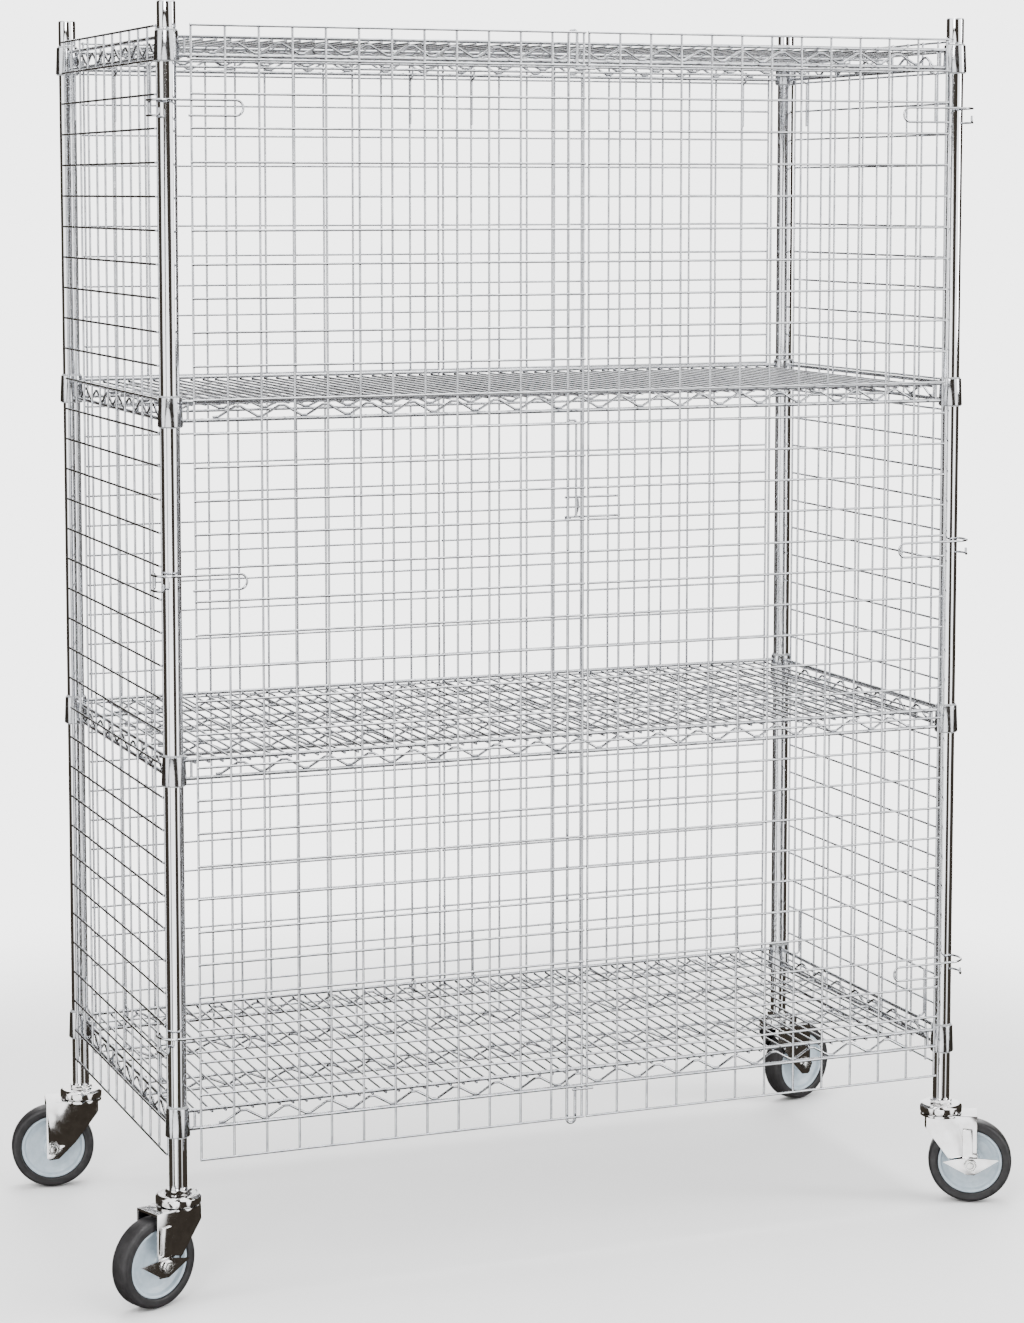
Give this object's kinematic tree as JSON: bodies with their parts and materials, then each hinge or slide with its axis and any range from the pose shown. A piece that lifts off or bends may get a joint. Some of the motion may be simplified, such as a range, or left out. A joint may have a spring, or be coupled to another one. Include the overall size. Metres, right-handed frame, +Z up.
{
  "type": "mobile wire security cage",
  "caption": "Chrome wire-shelving truck caged in welded wire mesh, with a pair of mesh doors, a turning latch bar and swivel casters, some with brakes.",
  "frame": {"origin": "on the floor, at the middle of the four posts", "axes": "+Z up, +X to the right as seen from the doors, -Y towards the doors"},
  "size_m": [1.3869, 0.6623, 1.755],
  "materials": {
    "wire_chrome": "bright zinc-chrome plated wire",
    "post_chrome": "polished chrome-plated tube",
    "cap_metal": "plated cap",
    "sleeve_plastic": "moulded split sleeve",
    "caster_plate": "bright plated pressed steel",
    "ball_steel": "polished balls",
    "bolt_steel": "zinc-plated",
    "hub_plastic": "pale grey-blue moulded wheel centre",
    "tyre_rubber": "dark grey non-marking rubber"
  },
  "bodies": {
    "frame": {"back_panel_hooks": "wire_chrome", "back_panel_left": "wire_chrome", "back_panel_right": "wire_chrome", "caster_stem_front_left": "caster_plate", "caster_stem_front_right": "caster_plate", "caster_stem_rear_left": "caster_plate", "caster_stem_rear_right": "caster_plate", "post_caps": "cap_metal", "post_front_left": "post_chrome", "post_front_right": "post_chrome", "post_rear_left": "post_chrome", "post_rear_right": "post_chrome", "shelf_bottom": "wire_chrome", "shelf_lower": "wire_chrome", "shelf_top": "wire_chrome", "shelf_upper": "wire_chrome", "side_panel_hooks": "wire_chrome", "side_panel_left": "wire_chrome", "side_panel_right": "wire_chrome", "sleeves_bottom": "sleeve_plastic", "sleeves_lower": "sleeve_plastic", "sleeves_top": "sleeve_plastic", "sleeves_upper": "sleeve_plastic"},
    "left_door": {"left_door_panel": "wire_chrome", "left_hinge_clips": "wire_chrome", "door_stop_fingers": "wire_chrome", "latch_guides": "wire_chrome"},
    "latch": {"latch_bar": "wire_chrome", "latch_handle": "wire_chrome"},
    "right_door": {"right_door_panel": "wire_chrome", "right_hinge_clips": "wire_chrome"},
    "swivel_front_left": {"fork_front_left": "caster_plate", "swivel_balls_front_left": "ball_steel", "axle_sleeve_front_left": "bolt_steel", "axle_bolt_front_left": "bolt_steel", "brake_bracket_front_left": "caster_plate"},
    "wheel_front_left": {"hub_front_left": "hub_plastic", "tyre_front_left": "tyre_rubber"},
    "swivel_front_right": {"fork_front_right": "caster_plate", "swivel_balls_front_right": "ball_steel", "axle_sleeve_front_right": "bolt_steel", "axle_bolt_front_right": "bolt_steel", "brake_bracket_front_right": "caster_plate"},
    "wheel_front_right": {"hub_front_right": "hub_plastic", "tyre_front_right": "tyre_rubber"},
    "swivel_rear_left": {"fork_rear_left": "caster_plate", "swivel_balls_rear_left": "ball_steel", "axle_sleeve_rear_left": "bolt_steel", "axle_bolt_rear_left": "bolt_steel"},
    "wheel_rear_left": {"hub_rear_left": "hub_plastic", "tyre_rear_left": "tyre_rubber"},
    "swivel_rear_right": {"fork_rear_right": "caster_plate", "swivel_balls_rear_right": "ball_steel", "axle_sleeve_rear_right": "bolt_steel", "axle_bolt_rear_right": "bolt_steel"},
    "wheel_rear_right": {"hub_rear_right": "hub_plastic", "tyre_rear_right": "tyre_rubber"},
    "pedal_front_left": {"brake_pedal_front_left": "caster_plate"},
    "pedal_front_right": {"brake_pedal_front_right": "caster_plate"}
  },
  "joints": [
    {"name": "left_door_swing", "type": "hinge", "parent": "frame", "child": "left_door", "pos_m": [-0.5891, -0.2743, 0.96], "axis": [0, 0, 1], "range_deg": [-180, 0]},
    {"name": "right_door_swing", "type": "hinge", "parent": "frame", "child": "right_door", "pos_m": [0.5891, -0.2743, 0.96], "axis": [0, 0, 1], "range_deg": [0, 180]},
    {"name": "latch_turn", "type": "hinge", "parent": "left_door", "child": "latch", "pos_m": [-0.025, -0.29385, 0.96], "axis": [0, 0, 1], "range_deg": [0, 90]},
    {"name": "swivel_front_left", "type": "hinge", "parent": "frame", "child": "swivel_front_left", "pos_m": [-0.5891, -0.2743, 0.14], "axis": [0, 0, 1], "continuous": true},
    {"name": "wheel_spin_front_left", "type": "hinge", "parent": "swivel_front_left", "child": "wheel_front_left", "pos_m": [-0.62961, -0.29147, 0.0625], "axis": [0.3903, -0.9207, 0], "continuous": true},
    {"name": "brake_front_left", "type": "hinge", "parent": "swivel_front_left", "child": "pedal_front_left", "pos_m": [-0.62961, -0.29147, 0.0625], "axis": [0.3903, -0.9207, 0], "range_deg": [0, 20]},
    {"name": "swivel_front_right", "type": "hinge", "parent": "frame", "child": "swivel_front_right", "pos_m": [0.5891, -0.2743, 0.14], "axis": [0, 0, 1], "continuous": true},
    {"name": "wheel_spin_front_right", "type": "hinge", "parent": "swivel_front_right", "child": "wheel_front_right", "pos_m": [0.62791, -0.29503, 0.0625], "axis": [0.4711, 0.8821, 0], "continuous": true},
    {"name": "brake_front_right", "type": "hinge", "parent": "swivel_front_right", "child": "pedal_front_right", "pos_m": [0.62791, -0.29503, 0.0625], "axis": [0.4711, 0.8821, 0], "range_deg": [0, 20]},
    {"name": "swivel_rear_left", "type": "hinge", "parent": "frame", "child": "swivel_rear_left", "pos_m": [-0.5891, 0.2743, 0.14], "axis": [0, 0, 1], "continuous": true},
    {"name": "wheel_spin_rear_left", "type": "hinge", "parent": "swivel_rear_left", "child": "wheel_rear_left", "pos_m": [-0.63245, 0.28182, 0.0625], "axis": [-0.1709, -0.9853, 0], "continuous": true},
    {"name": "swivel_rear_right", "type": "hinge", "parent": "frame", "child": "swivel_rear_right", "pos_m": [0.5891, 0.2743, 0.14], "axis": [0, 0, 1], "continuous": true},
    {"name": "wheel_spin_rear_right", "type": "hinge", "parent": "swivel_rear_right", "child": "wheel_rear_right", "pos_m": [0.6308, 0.28835, 0.0625], "axis": [-0.3192, 0.9477, 0], "continuous": true}
  ]
}
